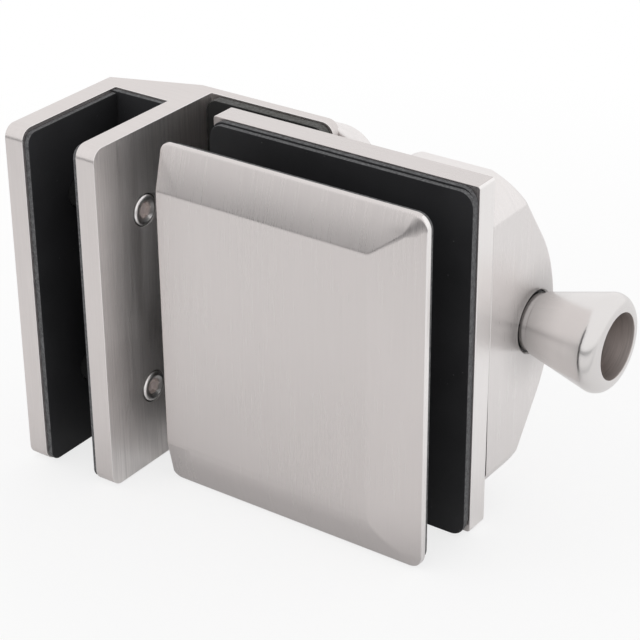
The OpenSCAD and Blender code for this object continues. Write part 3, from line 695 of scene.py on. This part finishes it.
# Back plate with the countersinks of its two clamp screws
PLATE_R, PLATE_EDGE = 1 * MM, 0.25 * MM
SINK_R, SINK_DEEP = 5.7 * MM, 3.3 * MM
back = thing("back", slab(back_lo, back_hi, "y", PLATE_R))
bevel(back, PLATE_EDGE, segments=3, angle=40)
sink = [(0, -FAR_PAST), (BOSS_BORE, -FAR_PAST), (BOSS_BORE, -SINK_DEEP), (SINK_R, 0.0), (SINK_R + 0.2 * MM, MM),
        (0, MM)]
for spot in pair(BOSS_X, back_hi.y):
    combine(back, revolve(sink, spot, "y"))
finish(back, [stainless_face, stainless_lit_rim], "latch", ["back_plate"])
# The plate's right side takes the lighter copy of the steel, a painted highlight.
paint(back, lambda face: face.normal.x > 0.5 and face.center.x > back_hi.x - PLATE_R)

CLAMP_HOLE_R, PAD_CORNER_STEPS = 8.05 * MM, 14
for node in ("front_pad", "back_pad", "back_pad_liner"):
    lo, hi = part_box(node)
    shift = SAG + ASIDE if node == "back_pad" else Vector((0, 0, 0))
    shape = slab(lo + shift, hi + shift, "y", PAD_R, PAD_CORNER_STEPS)
    cut_pad(node + "_rubber", node, shape, "y", "latch", pair(BOSS_X, lo.y), CLAMP_HOLE_R)


# ---- housing ----

HOUSE_H, HOUSE_W, HOUSE_D = house_hi.z, house_hi.x - house_lo.x, house_hi.y - back_hi.y
CORNER_CUT, CROWN_R, REAR_SLOPE, EDGE_R = 8.5 * MM, 42 * MM, math.radians(32.4), 2.4 * MM
BULGE, EASE, FOOT = 0.9 * MM, 1 * MM, 0.2 * MM  # of the corner faces, of their rear edges, and of the foot's edge
CUT_STEPS, CROWN_STEPS, FOOT_STEPS, CROWN_TURNS = 6, 16, 56, 14


def ball(bm, centre, r, turns=28):
    """The vertices of a ball."""
    for i in range(turns + 1):
        lat = math.pi * i / turns - math.pi / 2
        count = 1 if i in (0, turns) else 2 * turns
        for j in range(count):
            lon = 2 * math.pi * j / count
            bm.verts.new((centre[0] + r * math.cos(lat) * math.cos(lon),
                          centre[1] + r * math.cos(lat) * math.sin(lon), centre[2] + r * math.sin(lat)))


def slope_depth(z, r):
    """How far from the plate the centre of a ball of radius r lies that touches the rear slope at that height."""
    return HOUSE_D - CROWN_R + (CROWN_R - r) / math.cos(REAR_SLOPE) - z * math.tan(REAR_SLOPE)


# The hull of balls along its rounded edges and of a foot ring under each ball of the corners
bm = bmesh.new()
bend = EDGE_R * math.tan(math.pi / 8)
mid_x, reach_x, reach_z = house_lo.x + HOUSE_W / 2, HOUSE_W / 2 - EDGE_R, HOUSE_H - EDGE_R
for sx in (-1, 1):
    for sz in (-1, 1):
        for k in range(CUT_STEPS + 1):
            t = k / CUT_STEPS
            out = BULGE * 4 * t * (1 - t) / math.sqrt(2)
            cx = between(reach_x, HOUSE_W / 2 - CORNER_CUT - bend, t) + out
            cz = between(HOUSE_H - CORNER_CUT - bend, reach_z, t) + out
            x, z = mid_x + sx * min(cx, reach_x), sz * min(cz, reach_z)
            ball(bm, (x, back_hi.y + slope_depth(abs(z), EDGE_R) - EASE * (1 - t), z), EDGE_R)
            for j in range(FOOT_STEPS):
                a = 2 * math.pi * j / FOOT_STEPS
                for inset, depth in ((FOOT, 0), (0, FOOT)):
                    r = EDGE_R - inset
                    bm.verts.new((x + r * math.cos(a), back_hi.y + depth, z + r * math.sin(a)))
    for k in range(-CROWN_STEPS, CROWN_STEPS + 1):
        a = REAR_SLOPE * k / CROWN_STEPS
        y = back_hi.y + HOUSE_D - CROWN_R + (CROWN_R - EDGE_R) * math.cos(a)
        ball(bm, (mid_x + sx * reach_x, y, (CROWN_R - EDGE_R) * math.sin(a)), EDGE_R, CROWN_TURNS)
bmesh.ops.convex_hull(bm, input=bm.verts)
bmesh.ops.delete(bm, geom=[v for v in bm.verts if not v.link_faces], context="VERTS")
housing = thing("house", bm)

GAP_TOP, GAP_W, GAP_IN = -6 * MM, 0.4 * MM, 1.2 * MM  # the foot stands a hair off the plate low on the right
wedge = [(back_hi.y - MM, GAP_TOP), (back_hi.y - MM, -HOUSE_H), (back_hi.y + GAP_W, -HOUSE_H + CORNER_CUT),
         (back_hi.y, GAP_TOP)]
combine(housing, prism(wedge, "x", house_hi.x - GAP_IN, house_hi.x + MM))
# The recess round the knob's ring at the right, and the mouth of the nose bush at the left
RING_SINK, RING_HOLE_R, RING_CHAMFER = 1.6 * MM, 8.3 * MM, 0.6 * MM
BUSH_R, BUSH_L, BUSH_INSET = 8.05 * MM, 10 * MM, 0.4 * MM
bore = [(0, -RING_SINK), (RING_HOLE_R, -RING_SINK), (RING_HOLE_R, -RING_CHAMFER),
        (RING_HOLE_R + 0.12 * MM, -0.35 * MM), (RING_HOLE_R + RING_CHAMFER, 0.0),
        (RING_HOLE_R + RING_CHAMFER + 0.1 * MM, 2 * MM), (0, 2 * MM)]
combine(housing, revolve(bore, (house_hi.x, AXIS_Y, 0), "x", FINE_STEPS))
mouth = [(0, -2 * MM), (BUSH_R + 0.45 * MM, -2 * MM), (BUSH_R + 0.4 * MM, 0), (BUSH_R, 0.4 * MM),
         (BUSH_R, BUSH_L + BUSH_INSET), (0, BUSH_L + BUSH_INSET)]
combine(housing, revolve(mouth, (house_lo.x, AXIS_Y, 0), "x", FINE_STEPS))
finish(housing, [stainless_cast], "latch", ["housing"], angle=30)


# ---- knob ----

KNOB_R, KNOB_END, KNOB_X = (knob_hi.z - knob_lo.z) / 2, knob_hi.x, knob_lo.x
RING_R, RING_END = 7.9 * MM, house_hi.x + 1.9 * MM
CONE_R, LIP_R, LIP_STEPS = 8.7 * MM, 3.9 * MM, 14
RECESS_R, FLOOR_R, RECESS_X = 9 * MM, 8.4 * MM, KNOB_END - 13 * MM
cone = math.atan((KNOB_R - CONE_R) / (KNOB_END - RING_END - LIP_R))
# The ring at the neck, the foot of the cone, the lip, the mouth, and the recess with its rounded floor
section = [(0, KNOB_X), (RING_R - 0.3 * MM, KNOB_X), (RING_R, KNOB_X + 0.3 * MM), (RING_R, RING_END - 0.25 * MM),
           (RING_R + 0.1 * MM, RING_END - 0.08 * MM), (RING_R + 0.35 * MM, RING_END),
           (CONE_R - 0.45 * MM, RING_END), (CONE_R - 0.12 * MM, RING_END + 0.12 * MM),
           (CONE_R + 0.02 * MM, RING_END + 0.45 * MM)]
for i in range(LIP_STEPS + 1):
    a = -cone + (math.pi / 2 + cone) * i / LIP_STEPS
    section.append((KNOB_R - LIP_R + LIP_R * math.cos(a), KNOB_END - LIP_R + LIP_R * math.sin(a)))
section += [(RECESS_R + 0.35 * MM, KNOB_END), (RECESS_R + 0.1 * MM, KNOB_END - 0.1 * MM),
            (RECESS_R, KNOB_END - 0.4 * MM), (FLOOR_R + 0.02 * MM, RECESS_X + 0.6 * MM),
            (FLOOR_R - 0.18 * MM, RECESS_X + 0.18 * MM), (FLOOR_R - 0.6 * MM, RECESS_X), (0, RECESS_X)]
knob = thing("pull_knob", revolve(section, (0, AXIS_Y, 0), "x", FINE_STEPS))
finish(knob, [knob_stainless, recess_steel], "bolt", ["knob"], angle=30)
paint(knob, lambda face: (math.hypot(face.center.y - AXIS_Y, face.center.z) < RECESS_R + 0.05 * MM
                          and face.center.x > RECESS_X - 0.1 * MM))


# ---- screws ----

HEX_R, HEX_MOUTH, HEX_DEEP = 2.31 * MM, 0.65 * MM, 1.9 * MM
RIM_IN, RIM_DOWN, RIM_STEPS = 0.95 * MM, 0.85 * MM, 5
HEAD_FOOT = 0.3 * MM


def cap_head(name, centre, body, node, metal):
    """Socket cap head that faces along X, with a rounded rim, a dished top and a hex socket with a drilled floor."""
    section = [(0, 0.02 * MM), (HEAD_R - HEAD_FOOT, 0.0), (HEAD_R, HEAD_FOOT), (HEAD_R, HEAD_H - RIM_DOWN)]
    for k in range(1, RIM_STEPS + 1):
        a = math.pi / 2 * k / RIM_STEPS
        section.append((HEAD_R - RIM_IN * (1 - math.cos(a)), HEAD_H - RIM_DOWN + RIM_DOWN * math.sin(a)))
    section += [(HEX_R + 0.85 * MM, HEAD_H), (HEX_R + 0.15 * MM, HEAD_H - 0.5 * MM)]
    hexes = range(len(section), len(section) + 3)
    section += [(HEX_R, HEAD_H - HEX_MOUTH), (HEX_R, HEAD_H - HEX_DEEP), (HEX_R * 0.9, HEAD_H - HEX_DEEP - 0.1 * MM),
                (0, HEAD_H - HEX_DEEP - 0.5 * MM)]
    head = thing(name, revolve(section, centre, "x", hexes=hexes))
    finish(head, [metal, socket_steel], body, [node], angle=30)
    paint(head, lambda face: (math.hypot(face.center.y - centre[1], face.center.z - centre[2]) < HEX_R * 1.02
                              and face.center.x - centre[0] < HEAD_H - 0.55 * MM))


for name, spot in zip(("keeper_screw_low", "keeper_screw_high"), pair(INNER_OUT + HEAD_PROUD - HEAD_H, SCREW_Y)):
    cap_head(name, spot, "keeper", "keeper_screws", screw_steel)
cap_head("recess_screw", (RECESS_X, AXIS_Y, 0), "bolt", "knob_screw", dark_screw)


# ---- bolt spring, built at rest; the real one shortens as the knob pulls the bolt back ----

spring_lo, spring_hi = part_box("bolt_spring")
WIRE_R, TURNS, TRAVEL = 0.55 * MM, 6, 13.5 * MM
COIL_STEPS, WIRE_STEPS = 32, 12
COIL_R = spring_hi.z - WIRE_R
bm = bmesh.new()
rings = []
for i in range(COIL_STEPS * TURNS + 1):
    a = 2 * math.pi * i / COIL_STEPS
    x = between(spring_lo.x + WIRE_R, spring_hi.x - WIRE_R, i / (COIL_STEPS * TURNS))
    ring = []
    for k in range(WIRE_STEPS):
        b = 2 * math.pi * k / WIRE_STEPS
        r = COIL_R + WIRE_R * math.cos(b)
        ring.append(bm.verts.new((x + WIRE_R * math.sin(b), AXIS_Y + r * math.cos(a), r * math.sin(a))))
    rings.append(ring)
spring = thing("return_spring", loft(bm, rings))
finish(spring, [spring_steel], "latch", ["bolt_spring"], angle=50, weigh=False)
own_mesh(spring)


# ---- nodes whose CAD shape stays ----

kept = {"keeper_sleeves": sleeve_plastic, "clamp_sleeves": sleeve_plastic, "clamp_screws": screw_steel,
        "housing_screws": screw_steel, "nose_bush": brass, "nose_screw": screw_steel, "spindle_bush": bush_plastic,
        "thrust_washer": screw_steel, "latch_bolt": bolt_steel, "spindle": bolt_steel,
        "spindle_pin": screw_steel}
for node, material in kept.items():
    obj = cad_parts[node]
    obj.data.materials.clear()
    obj.data.materials.append(material)
for node, width in (("latch_bolt", 0.3), ("clamp_screws", 0.12), ("nose_bush", 0.15)):  # in millimetres
    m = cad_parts[node].modifiers.new("bevel", "BEVEL")
    m.width, m.segments, m.limit_method, m.angle_limit = width * MM, 3, "ANGLE", math.radians(35)


# ---- floor, sky and lamps ----

FLOOR_Z, FLOOR_REACH = cad_box[0].z - 0.5 * MM, 6
WHITE, PAPER_LOW, PAPER_HIGH = (1, 1, 1, 1), (0.93, 0.93, 0.93, 1), (0.95, 0.95, 0.95, 1)
FAR_GREY = (0.1, 0.1, 0.105, 1)
SKY_LIGHT = 0.76  # what the sky gives; seen directly or in a mirror it is white
SHADOW_LIGHT, FADE = 0.76, (0.1, 0.32)  # glow of the paper at the object, and where it has become full
MIRROR_LIGHT, GREY_LIGHT = 0.08, 0.95  # glow of the paper in mirrors, where it is white and where it is grey
# The room before the object that its metal mirrors, painted on the paper for mirrored rays only as a painted
# reflection: a grey stretch, paler at the left, from one Y to another, and a darker strip at the plate's foot as
# painted shadow
GREY_FROM, GREY_TO, GREY_LEFT, SIDE_GREY = (-0.3, -0.38), (-2.0, -4.0), (-0.45, -0.2), 0.9
FOOT_FROM, FOOT_TO, FOOT_SHADOW_GREY = (-0.06, -0.024), (-0.018, -0.014), 0.62

corners = ((-1, -1), (1, -1), (1, 1), (-1, 1))
bm = bmesh.new()
bm.faces.new([bm.verts.new((x * FLOOR_REACH, y * FLOOR_REACH, FLOOR_Z)) for x, y in corners])
floor = thing("floor", bm)
look = Look("floor_white", Roughness=0.9, Specular_IOR_Level=0.0)
look.set("Base Color", look.mix(look.noise(look.spot, 3.0, 2.0), PAPER_LOW, PAPER_HIGH))
away = look.add("VectorMath", {0: look.spot}, operation="LENGTH").outputs["Value"]
place = look.add("SeparateXYZ", {0: look.spot}).outputs
direct, mirrored = look.rays()
grey = look.math("MULTIPLY", look.span(place["Y"], *GREY_FROM, 0.0, 1.0), look.span(place["Y"], *GREY_TO, 1.0, 0.0))
grey = look.math("MULTIPLY", grey, look.span(place["X"], *GREY_LEFT, SIDE_GREY, 1.0))
# Painted shadow at the plate's foot, seen only in mirrors.
foot = look.math("MULTIPLY", look.span(place["Y"], *FOOT_FROM, 0.0, FOOT_SHADOW_GREY),
                 look.span(place["Y"], *FOOT_TO, 1.0, 0.0))
grey = look.math("MULTIPLY", look.math("MAXIMUM", grey, foot), mirrored)
glow = look.add("Emission", {"Color": look.mix(grey, WHITE, FAR_GREY), "Strength": 1.0})
share = look.math("ADD", look.math("MULTIPLY", direct, look.span(away, *FADE, SHADOW_LIGHT, 1.0)),
                  look.math("MULTIPLY", mirrored, look.pick(grey, MIRROR_LIGHT, GREY_LIGHT)))
paper = look.add("MixShader", {0: share, 1: look.shader.outputs[0], 2: glow.outputs[0]})
look.put(look.tree.nodes["Material Output"].inputs["Surface"], paper.outputs[0])
floor.data.materials.append(look.material)

world = bpy.data.worlds.new("studio")
bpy.context.scene.world = world
world.use_nodes = True
sky = Nodes(world.node_tree)
soft = sky.tree.nodes["Background"]
sky.put(soft.inputs["Color"], WHITE)
sky.put(soft.inputs["Strength"], SKY_LIGHT)
white = sky.add("Background", {"Color": WHITE, "Strength": 1.0})
seen = sky.math("MAXIMUM", *sky.rays())
blend = sky.add("MixShader", {0: seen, 1: soft.outputs[0], 2: white.outputs[0]})
sky.put(sky.tree.nodes["World Output"].inputs["Surface"], blend.outputs[0])

# Two large soft lamps, which light what is matt and aren't mirrored: name, place in metres and watts
LAMPS = (("key", (-0.9, -1.2, 1.4), 8.0), ("top", (0.7, 0.9, 1.5), 5.0))
LAMP_SIZE = 2.6
for name, place, watts in LAMPS:
    light = bpy.data.lights.new(name, "AREA")
    light.shape, light.size, light.energy = "SQUARE", LAMP_SIZE, watts
    lamp = bpy.data.objects.new(name, light)
    bpy.context.scene.collection.objects.link(lamp)
    lamp.location = place
    lamp.rotation_euler = (-Vector(place)).to_track_quat("-Z", "Y").to_euler()
    lamp.visible_glossy = False


# ---- camera ----

back_way = Vector((math.sin(CAMERA_AZ) * math.cos(CAMERA_EL), -math.cos(CAMERA_AZ) * math.cos(CAMERA_EL),
                   math.sin(CAMERA_EL)))
right = Vector((math.cos(CAMERA_AZ), math.sin(CAMERA_AZ), 0))
up = back_way.cross(right)
rolled_right = right * math.cos(CAMERA_ROLL) + up * math.sin(CAMERA_ROLL)
rolled_up = up * math.cos(CAMERA_ROLL) - right * math.sin(CAMERA_ROLL)
camera = bpy.data.objects.new("camera", bpy.data.cameras.new("camera"))
bpy.context.scene.collection.objects.link(camera)
camera.data.sensor_width = SENSOR_MM
camera.data.lens = SENSOR_MM * FOCAL_PX / FRAME_PX
camera.data.clip_start, camera.data.clip_end = 0.01, 20
camera.matrix_world = (Matrix.Translation(CAMERA_TARGET + back_way * CAMERA_DISTANCE)
                       @ Matrix((rolled_right, rolled_up, back_way)).transposed().to_4x4())
bpy.context.scene.camera = camera
bpy.context.scene.view_settings.view_transform = "Standard"
